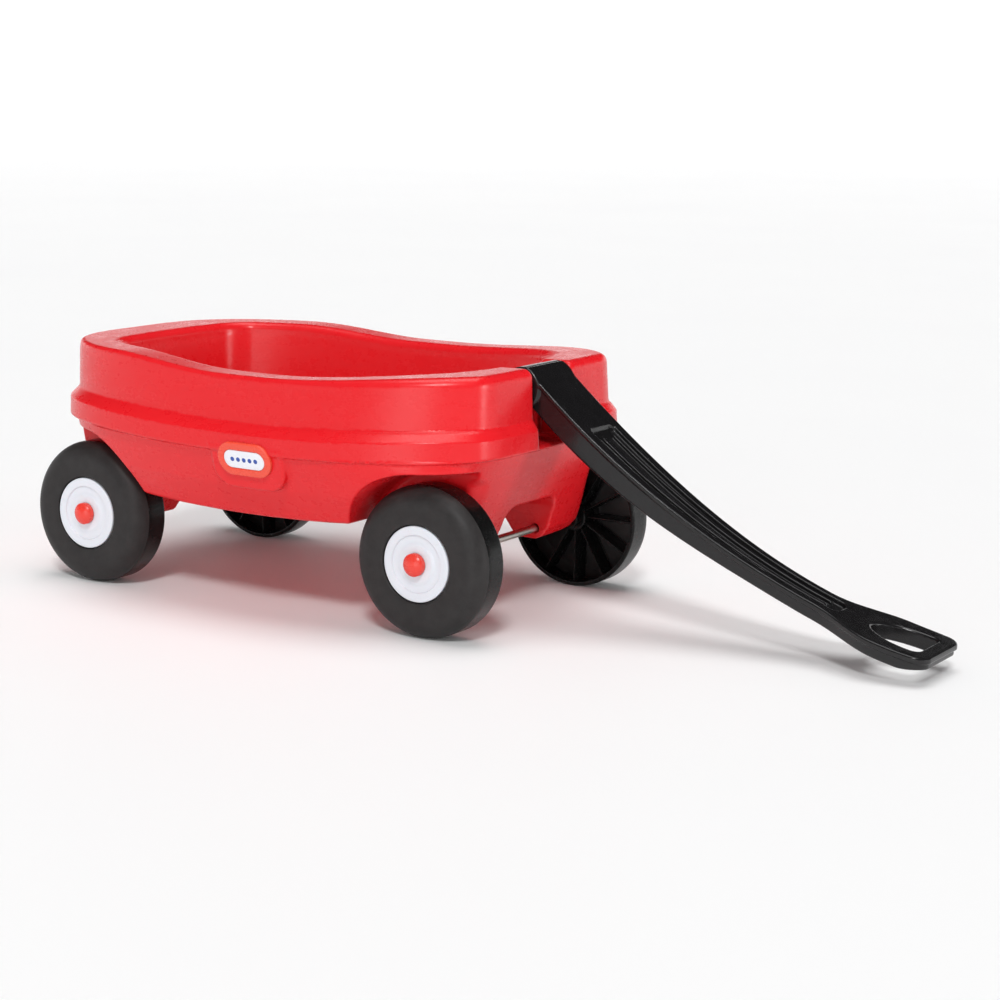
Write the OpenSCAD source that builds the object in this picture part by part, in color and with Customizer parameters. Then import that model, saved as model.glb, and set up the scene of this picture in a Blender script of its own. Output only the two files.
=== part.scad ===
// Kids pull wagon: moulded tub on fixed axles, free-rolling wheels and a swinging pull handle.
// Units are millimetres, +Z is up, +X points to the handle end and the floor is at z = 0.

/* [Wheels] */
// Outside diameter of each wheel
wheel_d = 147; // [120:1:180]
// Width of each wheel from its outer face to its open back
wheel_w = 40; // [30:1:60]
// Distance from the middle plane to the outer face of each wheel
wheel_face_y = 163.5; // [140:0.5:200]
// Radius of the white hub disc
disc_r = 36.5; // [30:0.5:45]
// Number of stiffening ribs in the open back of a wheel
rib_count = 12; // [6:1:18]

/* [Axles] */
// Distance between the two axles
wheelbase = 413; // [350:1:500]
// Position of the front axle
axle_front_x = 16; // [5:1:40]
// Diameter of the steel axle rods
axle_d = 8; // [6:0.5:12]
// Radius of the domed axle cap
cap_r = 11; // [9:0.5:14]

/* [Body] */
// Half width of the body at the belt
belt_half = 201; // [170:1:230]
// Middle of the body along its length
body_mid_x = -164; // [-190:1:-140]
// Length from the middle to the front of the body
belt_front = 240; // [200:1:280]
// Length from the middle to the rear of the body
belt_rear = 314.5; // [270:0.5:360]
// Height of the rim at its lowest stretch
rim_z = 237; // [210:1:270]
// Height of the tub floor
floor_z = 140; // [125:1:160]
// Thickness of the moulded skin
skin = 3; // [2.5:0.5:6]

/* [Handle] */
// Width of the handle where it meets the body
handle_w = 68; // [50:1:80]
// Width of the notch between the two posts
notch_w = 71; // [55:0.5:85]
// Radius of the handle's knuckle
knuckle_r = 20; // [15:0.5:25]
// Outside width of the grip
grip_w = 92; // [75:1:110]
// Position of the handle pivot along the body
pivot_x = 49; // [40:0.5:56]
// Height of the handle pivot
pivot_z = 229.5; // [210:0.5:245]

/* [Badge] */
// Length of the side badge
badge_l = 64; // [50:1:90]
// Height of the side badge
badge_h = 33.5; // [25:1:50]

/* [Hidden] */

red = [0.85, 0.13, 0.17];
black = [0.10, 0.10, 0.11];
white = [0.93, 0.94, 0.95];
orange_red = [0.93, 0.22, 0.16];
steel = [0.62, 0.64, 0.66];

wheel_r = wheel_d / 2;
axle_r = axle_d / 2;
axle_rear_x = axle_front_x - wheelbase;
around = 72;
$fn = 96;

// ---- body shape -------------------------------------------------------------------

// Rise of every horizontal line of the body towards its ends
sag_front = 12;
sag_rear = 10;
sag_front_len = 234;
sag_rear_len = 266;
rise_start = 40;
rise_len = 150;
high_z = rim_z - 20;
function ease(u) = (1 - cos(180 * min(1, max(0, u)))) / 2;
function sag(x, k, high) =
    let (behind = body_mid_x - x)
    behind < 0
        ? k[0] * ease(-behind / sag_front_len)
        : high
            ? k[1] * ease((behind - rise_start) / rise_len)
            : k[1] * ease(behind / sag_rear_len);

function spow(v, e) = sign(v) * pow(abs(v), e);

// One ring of the body: [height, front length, rear length, half width, front power,
// rear power, front sag, rear sag]. A higher power gives squarer corners.
function ring_point(r, t) =
    let (
        u = spow(cos(t), 0.5),
        v = spow(sin(t), 0.5),
        n = u > 0 ? r[4] : r[5],
        k = pow(pow(abs(u), n) + pow(abs(v), n), -1 / n),
        x = body_mid_x + (u > 0 ? r[1] : r[2]) * k * u,
        y = r[3] * k * v
    )
    [x, y, r[0] + sag(x, [r[6], r[7]], r[0] > high_z)];

function ring(r) = [for (i = [0 : around - 1]) ring_point(r, 360 * (i + 0.5) / around)];

module loft(rings) {
    n = len(rings);
    points = [for (r = rings) each ring(r)];
    sides = [
        for (j = [0 : n - 2])
            for (i = [0 : around - 1])
                let (
                    a = j * around + i,
                    b = j * around + (i + 1) % around
                )
                each [[a, a + around, b], [b, a + around, b + around]]
    ];
    bottom = [[for (i = [0 : around - 1]) i]];
    top = [[for (i = [0 : around - 1]) n * around - 1 - i]];
    polyhedron(points = points, faces = concat(bottom, sides, top), convexity = 6);
}

// Outer powers at the front and the rear, and inner ones
nf = 4;
nr = 3;
inf = 2.7;
inr = 4.0;
bf = belt_front;
br = belt_rear;
bh = belt_half;

// From the underside up the chassis, over the belt, up the tub, over the rim and
// down to the tub floor
skin_rings = [
    [62, bf - 55, br - 52, bh - 66, 7, 4, 0, 0],
    [66, bf - 49.5, br - 45, bh - 59, 7, 4, 0, 0],
    [74, bf - 42.5, br - 40, bh - 54, 7, 4, 0, 0],
    [91, bf - 36, br - 33, bh - 44, 7, 4, 1, 1],
    [130, bf - 22, br - 20, bh - 21, 5.6, 3.5, 3, 3],
    [164, bf - 11, br - 10, bh - 6, 3.9, nr, 5, 5],
    [166, bf - 4, br - 3, bh - 3, 3.4, nr, 5, 5],
    [169, bf - 2, br, bh, 3.3, nr, 5, 5],
    [184, bf - 3, br, bh - 2, 3.3, nr, 6, 6],
    [188, bf - 5, br - 2.5, bh - 7, 3.5, nr, 6, 6],
    [191, bf - 8, br - 7, bh - 13.5, 3.6, nr, 7, 7],
    [rim_z - 11, bf - 11, br - 6, bh - 20, nf, nr, sag_front, sag_rear],
    [rim_z - 5, bf - 12, br - 8, bh - 22, nf, nr, sag_front, sag_rear],
    [rim_z - 1.5, bf - 16, br - 12, bh - 26, nf, nr, sag_front, sag_rear],
    [rim_z, bf - 22, br - 18, bh - 31, nf, nr, sag_front, sag_rear],
    [rim_z, 200, 260, 151, inf, inr, sag_front, sag_rear],
    [rim_z - 1.5, 195, 255, 147, inf, inr, sag_front, sag_rear],
    [rim_z - 5, 192.5, 252, 144.5, inf, inr, sag_front, sag_rear],
    [rim_z - 12, 191, 250.5, 143, inf, inr, sag_front, sag_rear],
    [floor_z + 24, 183, 242, 126, inf, inr, 3, 3],
    [floor_z + 7, 178, 237, 121, inf, inr, 0, 0],
    [floor_z + 1.5, 174, 233, 117, inf, inr, 0, 0],
    [floor_z, 167, 226, 110, inf, inr, 0, 0]
];

// The sealed space inside the moulding, one skin in from every face
s = skin;
void_rings = [
    [69, bf - 53, br - 50, bh - 64, 7, 4, 0, 0],
    [91 + s, bf - 38 - s, br - 35 - s, bh - 46 - s, 7, 4, 1, 1],
    [130, bf - 22 - s, br - 20 - s, bh - 21 - s, 5.6, 3.5, 3, 3],
    [164, bf - 11 - s, br - 10 - s, bh - 6 - s, 3.8, nr, 5, 5],
    [170, bf - 2 - s, br - s, bh - s, 3.3, nr, 5, 5],
    [183, bf - 3 - s, br - s, bh - 2 - s, 3.3, nr, 6, 6],
    [190, bf - 8 - s, br - 7 - s, bh - 13.5 - s, 3.6, nr, 7, 7],
    [rim_z - 11, bf - 11 - s, br - 6 - s, bh - 20 - s, nf, nr, sag_front, sag_rear],
    [rim_z - s, bf - 20 - s, br - 16 - s, bh - 28 - s, nf, nr, sag_front, sag_rear],
    [rim_z - s, 198 + s, 257 + s, 149 + s, inf, inr, sag_front, sag_rear],
    [rim_z - 12, 191 + s, 250.5 + s, 143 + s, inf, inr, sag_front, sag_rear],
    [floor_z + 24, 183 + s, 242 + s, 126 + s, inf, inr, 3, 3],
    [floor_z + 7, 178 + s, 237 + s, 121 + s, inf, inr, 0, 0],
    [floor_z - s, 169 + s, 228 + s, 112 + s, inf, inr, 0, 0]
];

// Wheel wells, the raised middle of the underside and the openings between the legs
well_wall_y = 114;
well_r = 80;
well_top = 159.5;
leg_x = 52;
arch_half = 46;
arch_foot = 54;
arch_z = 112;

// g is how much bigger the cut is than the real one, so it also shapes the inner space
module wheel_wells(g) {
    for (side = [-1, 1]) {
        y0 = side > 0 ? well_wall_y - g : -well_wall_y + g - 120;
        for (x = [axle_front_x, axle_rear_x]) {
            translate([x, side * (well_wall_y - g), well_top - well_r])
                rotate([side * -90, 0, 0])
                    cylinder(r = well_r + g, h = 120);
            translate([x - well_r - g, y0, 20])
                cube([2 * well_r + 2 * g, 120, well_top - well_r - 20]);
        }
        translate([axle_front_x, y0, 20])
            cube([120, 120, well_top - 20 + g]);
        translate([axle_rear_x - 120, y0, 20])
            cube([120, 120, well_top - 20 + g]);
    }
}

// The underside between the axles, highest beside the wheels
under_z = 97;
under_rise = 8;
module under_cut(g) {
    low = [axle_rear_x + 24 - g, axle_front_x - 24 + g];
    high = [axle_rear_x + leg_x - g, axle_front_x - leg_x + g];
    n = 12;
    translate([0, 300, 0])
        rotate([90, 0, 0])
            linear_extrude(height = 600)
                polygon(concat(
                    [[low[1], 62], [low[1], 40], [low[0], 40], [low[0], 62]],
                    [for (i = [0 : n])
                        [high[0] + (high[1] - high[0]) * i / n,
                         under_z + g + under_rise * pow(2 * i / n - 1, 2)]]
                ));
}

module leg_arch(g) {
    r = 14;
    for (x = [axle_front_x - 60, axle_rear_x - 90]) {
        translate([x, 0, 0])
            rotate([90, 0, 90])
                linear_extrude(height = 150)
                    polygon(concat(
                        [[-arch_foot - g, 30]],
                        [for (a = [180 : -15 : 90])
                            [r - arch_half + (r + g) * cos(a), arch_z - r + (r + g) * sin(a)]],
                        [for (a = [90 : -15 : 0])
                            [arch_half - r + (r + g) * cos(a), arch_z - r + (r + g) * sin(a)]],
                        [[arch_foot + g, 30]]
                    ));
    }
}

notch_back_x = 29;
notch_sill_z = 175;
notch_open_z = 206;
module handle_notch(g) {
    translate([notch_back_x - g, -notch_w / 2 - g, notch_sill_z - g])
        cube([100, notch_w + 2 * g, 120]);
    translate([-40, -notch_w / 2 - g, notch_open_z - g])
        cube([100, notch_w + 2 * g, 120]);
}

socket_r = 7;
socket_depth = 11;

module body_void() {
    difference() {
        loft(void_rings);
        wheel_wells(skin);
        under_cut(skin);
        leg_arch(skin);
        handle_notch(skin);
        for (x = [axle_front_x, axle_rear_x])
            translate([x, 150, wheel_r])
                rotate([90, 0, 0])
                    cylinder(r = axle_r + skin, h = 300);
        translate([pivot_x, 60, pivot_z])
            rotate([90, 0, 0])
                cylinder(r = socket_r + skin, h = 120);
    }
}

pad_x = -158.5;
pad_w = 88;
pad_low = 128;
pad_high = 171;
pad_tilt = 13;
badge_z = 160;
pad_y = belt_half - 3.7;
badge_t = 4;
badge_sunk = 0.5;

// Puts a flat shape, drawn facing +Z, on the leaning face of the pad on one side
module on_pad(side) {
    translate([pad_x, 0, badge_z])
        rotate([0, 0, side > 0 ? 180 : 0])
            translate([0, -pad_y, 0])
                rotate([90 + pad_tilt, 0, 0])
                    children();
}

// The pad that stands out below the belt behind each badge
module badge_pad() {
    r = 26;
    low = pad_low - badge_z;
    high = pad_high - badge_z;
    for (side = [-1, 1])
        on_pad(side)
            translate([0, 0, -30])
                linear_extrude(height = 30) {
                    translate([-pad_w / 2, low + r])
                        square([pad_w, high - low - r]);
                    translate([-pad_w / 2 + r, low])
                        square([pad_w - 2 * r, r + 1]);
                    for (e = [-1, 1])
                        translate([e * (pad_w / 2 - r), low + r])
                            circle(r = r);
                }
}

// The shallow pocket each badge sits in
module badge_pocket() {
    for (side = [-1, 1])
        on_pad(side)
            translate([0, 0, -badge_sunk])
                linear_extrude(height = 8)
                    slot_shape(badge_l + 1, badge_h + 1);
}

module wagon_body() {
    color(red)
        difference() {
            union() {
                loft(skin_rings);
                badge_pad();
            }
            wheel_wells(0);
            under_cut(0);
            leg_arch(0);
            handle_notch(0);
            body_void();
            badge_pocket();
            for (x = [axle_front_x, axle_rear_x])
                translate([x, 150, wheel_r])
                    rotate([90, 0, 0])
                        cylinder(r = axle_r + 0.05, h = 300);
            for (side = [-1, 1])
                translate([pivot_x, side * (notch_w / 2 - 1), pivot_z])
                    rotate([side * -90, 0, 0])
                        cylinder(r = socket_r + 0.06, h = socket_depth + 1);
        }
}

// ---- badges -----------------------------------------------------------------------

module slot_shape(l, h) {
    square([l - h, h], center = true);
    for (e = [-1, 1])
        translate([e * (l - h) / 2, 0])
            circle(d = h);
}

badge_rim = 7.5;
label_gap = 0.2;

module badge_ring(side) {
    color(orange_red)
        on_pad(side)
            translate([0, 0, -badge_sunk])
                difference() {
                    linear_extrude(height = badge_t)
                        slot_shape(badge_l, badge_h);
                    translate([0, 0, badge_t - 1.6])
                        linear_extrude(height = 2.6)
                            slot_shape(badge_l - 2 * badge_rim, badge_h - 2 * badge_rim);
                }
}

module badge_label(side) {
    inset = 2 * badge_rim + 2 * label_gap;
    color(white)
        on_pad(side)
            translate([0, 0, badge_t - badge_sunk - 1.6])
                linear_extrude(height = 1.2)
                    slot_shape(badge_l - inset, badge_h - inset);
}

// ---- handle -----------------------------------------------------------------------

// The handle is drawn from its pivot: h runs forwards and heights are above the pivot
grip_tip = 429.5;
bar_steps = 32;
bar_h = [for (i = [0 : bar_steps]) 6 + (grip_tip - 6) * i / bar_steps];
waist_half = 24;
flange_t = 6;
flange_out = 2.5;

function bar_top(h) =
    let (u = h / grip_tip)
    24.5 - 393.6 * u + 178 * u * u - 12.5 * u * u * u;

function bar_depth(h) =
    34
    - 16.5 * ease((h - 20) / 260)
    - 1.5 * ease((h - 310) / 60)
    - 4 * ease((h - 400) / 26);

function bar_half(h) =
    handle_w / 2
    - (handle_w / 2 - waist_half) * ease((h - 36) / 255)
    + (grip_w / 2 - waist_half) * ease((h - 308) / 72)
    - 5 * ease((h - 395) / 60);

module bar_side(high, low) {
    polygon(concat(
        [for (h = bar_h) [h, bar_top(h) - high]],
        [for (i = [bar_steps : -1 : 0])
            [bar_h[i], bar_top(bar_h[i]) - min(low, bar_depth(bar_h[i]))]]
    ));
}

// A layer of the bar between two depths under its top face
module bar_layer(high, low, inset) {
    intersection() {
        rotate([90, 0, 0])
            linear_extrude(height = 2 * grip_w, center = true)
                bar_side(high, low);
        translate([0, 0, -260])
            linear_extrude(height = 320)
                bar_plan(inset);
    }
}

corner_r = 14;
module bar_plan(inset) {
    stop = grip_tip - inset;
    last = stop - corner_r;
    hs = [for (i = [0 : bar_steps]) 6 + (last - 6) * i / bar_steps];
    half_end = bar_half(last) - inset;
    right = [for (h = hs) [h, -bar_half(h) + inset]];
    corner = [
        for (a = [-80 : 20 : 0])
            [stop - corner_r + corner_r * cos(a), -half_end + corner_r + corner_r * sin(a)]
    ];
    half = concat(right, corner);
    n = len(half);
    polygon(concat(half, [for (i = [n - 1 : -1 : 0]) [half[i][0], -half[i][1]]]));
}

hole_left = 360;
hole_right = 412;
hole_half = 27;
module grip_hole(g) {
    r = 8;
    steps = 12;
    translate([0, 0, -260])
        linear_extrude(height = 200)
            polygon(concat(
                [for (i = [0 : steps])
                    let (a = 90 + 180 * i / steps)
                    [hole_left + 44 - g + 44 * cos(a), (hole_half + g) * sin(a)]],
                [for (a = [-90 : 22.5 : 0])
                    [hole_right + g - r + r * cos(a), -hole_half + r - g + r * sin(a)]],
                [for (a = [0 : 22.5 : 90])
                    [hole_right + g - r + r * cos(a), hole_half - r + g + r * sin(a)]]
            ));
}

recess_start = 70;
recess_end = 330;
recess_deep = 5;
rib_deep = 1;
function recess_half(h) = bar_half(min(h, 291)) - 13 + 3 * ease((h - 60) / 230);

// The sunk panel along the top of the bar, with its two long ribs left standing
module bar_recess() {
    n = 16;
    hs = [for (i = [0 : n]) recess_start + (recess_end - 9 - recess_start) * i / n];
    edge = concat(
        [for (h = hs) [h, -recess_half(h)]],
        [for (a = [-60 : 30 : 0]) [recess_end - 9 + 9 * cos(a), recess_half(320) * sin(a)]]
    );
    m = len(edge);
    difference() {
        intersection() {
            rotate([90, 0, 0])
                linear_extrude(height = grip_w, center = true)
                    bar_side(-3, recess_deep);
            translate([0, 0, -260])
                linear_extrude(height = 320)
                    polygon(concat(edge, [for (i = [m - 1 : -1 : 0]) [edge[i][0], -edge[i][1]]]));
        }
        for (side = [-1, 1])
            intersection() {
                rotate([90, 0, 0])
                    linear_extrude(height = grip_w, center = true)
                        bar_side(rib_deep, recess_deep + 1);
                translate([0, 0, -260])
                    linear_extrude(height = 320)
                        rib_plan(side);
            }
    }
}

module rib_plan(side) {
    n = 16;
    hs = [for (i = [0 : n]) recess_start + 10 + (recess_end - 14 - recess_start - 10) * i / n];
    polygon(concat(
        [for (h = hs) [h, side * (0.5 * recess_half(h) + 3)]],
        [for (i = [n : -1 : 0]) [hs[i], side * (0.5 * recess_half(hs[i]) - 3)]]
    ));
}

trunnion_r = 7;

module handle() {
    color(black)
        translate([pivot_x, 0, pivot_z])
            difference() {
                union() {
                    bar_layer(0, flange_t, 0);
                    bar_layer(flange_t - 1, 99, flange_out);
                    rotate([90, 0, 0])
                        cylinder(r = knuckle_r, h = handle_w, center = true);
                    rotate([90, 0, 0])
                        cylinder(r = trunnion_r, h = notch_w + 2 * socket_depth - 2, center = true);
                }
                grip_hole(0);
                bar_recess();
            }
}

// ---- running gear -----------------------------------------------------------------

// Each of these is drawn along +Z with the outer face of the wheel at zero, then placed
module place_wheel_part(x, side) {
    translate([x, side * wheel_face_y, wheel_r])
        rotate([side * -90, 0, 0])
            children();
}

axle_out = 7;
module axle(x) {
    color(steel)
        translate([x, wheel_face_y + axle_out, wheel_r])
            rotate([90, 0, 0])
                cylinder(r = axle_r, h = 2 * (wheel_face_y + axle_out));
}

wheel_skin = 4.5;
shoulder_r = 18;
hub_r = 15;
boss_r = 11;
boss_end = wheel_face_y - well_wall_y - 0.5;
seat_deep = 5;
bore_gap = 0.08;

// Half section of the tyre wall and web, from the open back round to the hub
module wheel_section() {
    back = -wheel_w;
    difference() {
        union() {
            translate([0, back])
                square([wheel_r - 2, wheel_w - shoulder_r]);
            translate([0, back + 2])
                square([wheel_r, wheel_w - shoulder_r - 2]);
            translate([wheel_r - 2, back + 2])
                circle(r = 2);
            translate([0, -shoulder_r - 1])
                square([wheel_r - shoulder_r, shoulder_r + 1]);
            translate([wheel_r - shoulder_r, -shoulder_r])
                circle(r = shoulder_r);
        }
        translate([-50, back - 10])
            square([50, 80]);
        translate([hub_r, back - 10])
            square([wheel_r - wheel_skin - hub_r, wheel_w + 10 - shoulder_r]);
        translate([hub_r, back])
            square([wheel_r - shoulder_r - hub_r, wheel_w - wheel_skin - seat_deep]);
        translate([-1, -seat_deep])
            square([disc_r + 1.3, seat_deep + 1]);
        translate([-1, back - 1])
            square([axle_r + bore_gap + 1, wheel_w + 2]);
    }
    translate([axle_r + bore_gap, -boss_end])
        square([boss_r - axle_r - bore_gap, boss_end - 10]);
}

rib_sunk = 6;
rib_t = 2.5;

module wheel(x, side) {
    color(black)
        place_wheel_part(x, side) {
            rotate_extrude()
                wheel_section();
            for (i = [0 : rib_count - 1])
                rotate(360 * i / rib_count)
                    translate([hub_r - 1, -rib_t / 2, -wheel_w + rib_sunk]) {
                        cube([wheel_r - wheel_skin - hub_r + 2, rib_t, wheel_w - rib_sunk - shoulder_r]);
                        cube([wheel_r - shoulder_r - hub_r + 1, rib_t, wheel_w - rib_sunk - seat_deep - 4]);
                    }
        }
}

// A dished disc that snaps into the wheel's face
module hub_disc(x, side) {
    color(white)
        place_wheel_part(x, side)
            rotate_extrude()
                difference() {
                    union() {
                        translate([axle_r + 1, -seat_deep])
                            square([disc_r - axle_r - 1, 2.5]);
                        translate([27, -seat_deep])
                            square([disc_r - 27, seat_deep - 0.5]);
                        translate([axle_r + 1, -seat_deep])
                            square([14, seat_deep - 1.5]);
                    }
                    translate([disc_r - 1.5, -0.9 ])
                        square([3, 2]);
                    translate([axle_r, -seat_deep - 0.1])
                        square([7.4, 1.6]);
                }
}

// Toothed steel ring that grips the end of the axle inside the cap
module push_nut(x, side) {
    color(steel)
        place_wheel_part(x, side)
            translate([0, 0, -0.5])
                difference() {
                    cylinder(r = 8, h = 2);
                    translate([0, 0, -1])
                        cylinder(r = axle_r, h = 4);
                }
}

cap_h = 9;
module axle_cap(x, side) {
    sphere_r = 15;
    color(orange_red)
        place_wheel_part(x, side)
            rotate_extrude()
                difference() {
                    intersection() {
                        translate([0, -0.9])
                            square([cap_r, cap_h + 0.9]);
                        translate([0, cap_h - sphere_r])
                            circle(r = sphere_r);
                    }
                    translate([-1, -2])
                        square([9.2, 4]);
                    translate([-1, -2])
                        square([axle_r + 1.05, 2 + axle_out + 0.1]);
                }
}

// ---- assembly ---------------------------------------------------------------------

wagon_body();
badge_ring(1);  // badge_ring_left
badge_ring(-1);  // badge_ring_right
badge_label(1);  // badge_label_left
badge_label(-1);  // badge_label_right
handle();
axle(axle_front_x);  // front_axle
axle(axle_rear_x);  // rear_axle
wheel(axle_front_x, 1);  // wheel_front_left
wheel(axle_front_x, -1);  // wheel_front_right
wheel(axle_rear_x, 1);  // wheel_rear_left
wheel(axle_rear_x, -1);  // wheel_rear_right
hub_disc(axle_front_x, 1);  // hub_disc_front_left
hub_disc(axle_front_x, -1);  // hub_disc_front_right
hub_disc(axle_rear_x, 1);  // hub_disc_rear_left
hub_disc(axle_rear_x, -1);  // hub_disc_rear_right
push_nut(axle_front_x, 1);  // push_nut_front_left
push_nut(axle_front_x, -1);  // push_nut_front_right
push_nut(axle_rear_x, 1);  // push_nut_rear_left
push_nut(axle_rear_x, -1);  // push_nut_rear_right
axle_cap(axle_front_x, 1);  // axle_cap_front_left
axle_cap(axle_front_x, -1);  // axle_cap_front_right
axle_cap(axle_rear_x, 1);  // axle_cap_rear_left
axle_cap(axle_rear_x, -1);  // axle_cap_rear_right
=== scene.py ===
import math

import bpy
import numpy as np
from mathutils import Matrix, Vector


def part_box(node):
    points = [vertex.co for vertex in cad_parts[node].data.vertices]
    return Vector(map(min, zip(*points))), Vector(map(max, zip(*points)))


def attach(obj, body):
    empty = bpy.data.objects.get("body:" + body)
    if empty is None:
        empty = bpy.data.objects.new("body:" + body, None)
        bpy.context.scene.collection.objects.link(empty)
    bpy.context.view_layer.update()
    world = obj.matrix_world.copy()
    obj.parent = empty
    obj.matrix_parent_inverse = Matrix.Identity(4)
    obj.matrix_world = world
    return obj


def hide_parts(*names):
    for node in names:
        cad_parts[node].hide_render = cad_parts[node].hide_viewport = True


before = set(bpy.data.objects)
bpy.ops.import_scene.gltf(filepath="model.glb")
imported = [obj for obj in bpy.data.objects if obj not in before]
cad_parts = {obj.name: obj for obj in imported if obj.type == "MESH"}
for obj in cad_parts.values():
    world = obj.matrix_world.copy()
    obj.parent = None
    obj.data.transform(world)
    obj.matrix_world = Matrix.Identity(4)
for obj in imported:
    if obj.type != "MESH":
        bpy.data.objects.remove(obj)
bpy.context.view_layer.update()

# The object's shapes are worked out in millimetres, in the frame's own axes.
# The stage, the camera and all material distances are in metres.
MM = 0.001


def node_box(name):
    lo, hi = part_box(name)
    return np.array(lo) / MM, np.array(hi) / MM


body_lo, body_hi = node_box("wagon_body")
tyre_lo, tyre_hi = node_box("wheel_front_left")
rear_tyre_lo, rear_tyre_hi = node_box("wheel_rear_left")
disc_lo, disc_hi = node_box("hub_disc_front_left")
cap_lo, cap_hi = node_box("axle_cap_front_left")
grip_lo, grip_hi = node_box("handle")

WHEEL_R = (tyre_hi[2] - tyre_lo[2]) / 2
FACE_Y = tyre_hi[1]
AXLE_Z = (tyre_hi[2] + tyre_lo[2]) / 2
AXLE_F = (tyre_hi[0] + tyre_lo[0]) / 2
AXLE_R = (rear_tyre_hi[0] + rear_tyre_lo[0]) / 2
DISC_R = (disc_hi[0] - disc_lo[0]) / 2
CAP_R = (cap_hi[0] - cap_lo[0]) / 2

# The tub's plan is measured from MID_X: to the belt's front, its rear and each side.
MID_X = -164.0
BELT_F = 240.0
BELT_B = 314.5
BELT_H = 201.0
RIM_Z = 237.0
FLOOR_Z = 140.0
PIVOT_X = 49.0
PIVOT_Z = 229.5


# ---------------------------------------------------------------- shape maths
def ease(u):
    return (1 - np.cos(np.pi * np.clip(u, 0, 1))) / 2


def cut_round(a, b, r):
    """Both a and b, with the edge between them rounded to radius r."""
    u = np.maximum(a + r, 0)
    v = np.maximum(b + r, 0)
    return np.minimum(np.maximum(a, b), -r) + np.hypot(u, v)


def join_round(a, b, r):
    """Either a or b, with a fillet of radius r between them."""
    return -cut_round(-a, -b, r)


def take_away(a, tool, r):
    """The shape a without the tool, with the edge rounded to radius r."""
    return cut_round(a, -tool, r)


class Columns:
    """Columns of numbers that change smoothly with height."""

    def __init__(self, rows, spread):
        rows = np.array(rows, float)
        self.z = np.arange(rows[0, 0] - 12, rows[-1, 0] + 12, 0.25)
        reach = np.arange(-4 * spread, 4 * spread + 0.25, 0.25)
        bell = np.exp(-0.5 * (reach / spread) ** 2)
        bell /= bell.sum()
        pad = len(reach) // 2
        self.values = []
        for column in rows[:, 1:].T:
            line = np.interp(self.z, rows[:, 0], column)
            line = np.convolve(np.pad(line, pad, mode="edge"), bell, "valid")
            self.values.append(line[: len(self.z)])

    def at(self, z):
        return [np.interp(z, self.z, v) for v in self.values]


def wall(x, y, cols, bulge, corner):
    """Distance outside a rounded plan: flat-nosed ends blended into bulging sides."""
    front, nose, rear, tail, half, power_f, power_r = cols
    ahead = x > 0
    flat = np.where(ahead, front, rear)
    length = flat + np.where(ahead, nose, tail)
    n = np.where(ahead, power_f, power_r)
    u = np.maximum(np.abs(x) / length, 1e-4)
    v = np.maximum(np.abs(y) / half, 1e-4)
    f = (u**n + v**n) ** (1 / n)
    slope = f ** (1 - n) * np.hypot(u ** (n - 1) / length, v ** (n - 1) / half)
    side = (f - 1) / slope
    end = np.abs(x) - flat * (1 - bulge * v * v)
    return cut_round(side, end, corner)


# The tub's ends are lifted over these lengths from MID_X. The rear's top is lifted once
# more, over a shorter length that starts a little way back.
FRONT_RUN = 234
REAR_RUN = 266
TOP_START = 40
TOP_RUN = 150


def unsag(x, z, knots, front, rear, top):
    """The height that a point has before the tub's ends are lifted.

    The three lifts are given at the heights in knots.
    """
    ahead = x - MID_X
    behind = -ahead
    long_lift = np.where(ahead > 0, ease(ahead / FRONT_RUN), ease(behind / REAR_RUN))
    short_lift = ease((behind - TOP_START) / TOP_RUN)
    flat = z
    for _ in range(4):
        rise_f = np.interp(flat, knots, front)
        rise_r = np.interp(flat, knots, rear)
        rise_t = np.interp(flat, knots, top)
        lift = np.where(ahead > 0, rise_f, rise_r) * long_lift + rise_t * short_lift
        flat = z - lift
    return flat


# ---------------------------------------------------------------- mesh making
BLOCK = 6
CHUNK = 400000


def sample(field, lo, hi, step):
    """The field's values on a grid, worked out finely only near the surface."""
    blocks = np.ceil((np.array(hi) - lo) / (step * BLOCK)).astype(int) + 1
    axes = [lo[i] + step * (BLOCK * np.arange(blocks[i]) + (BLOCK - 1) / 2) for i in range(3)]
    centres = np.stack(np.meshgrid(*axes, indexing="ij"), -1).reshape(-1, 3)
    coarse = field(centres)
    values = coarse.reshape(blocks)
    for axis in range(3):
        values = np.repeat(values, BLOCK, axis)
    near = np.argwhere(np.abs(coarse.reshape(blocks)) < step * BLOCK * 1.5)
    inner = np.stack(np.meshgrid(*[np.arange(BLOCK)] * 3, indexing="ij"), -1).reshape(-1, 3)
    places = (near[:, None] * BLOCK + inner[None]).reshape(-1, 3)
    for part in np.array_split(places, len(places) // CHUNK + 1):
        values[tuple(part.T)] = field(lo + step * part)
    return values


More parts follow.
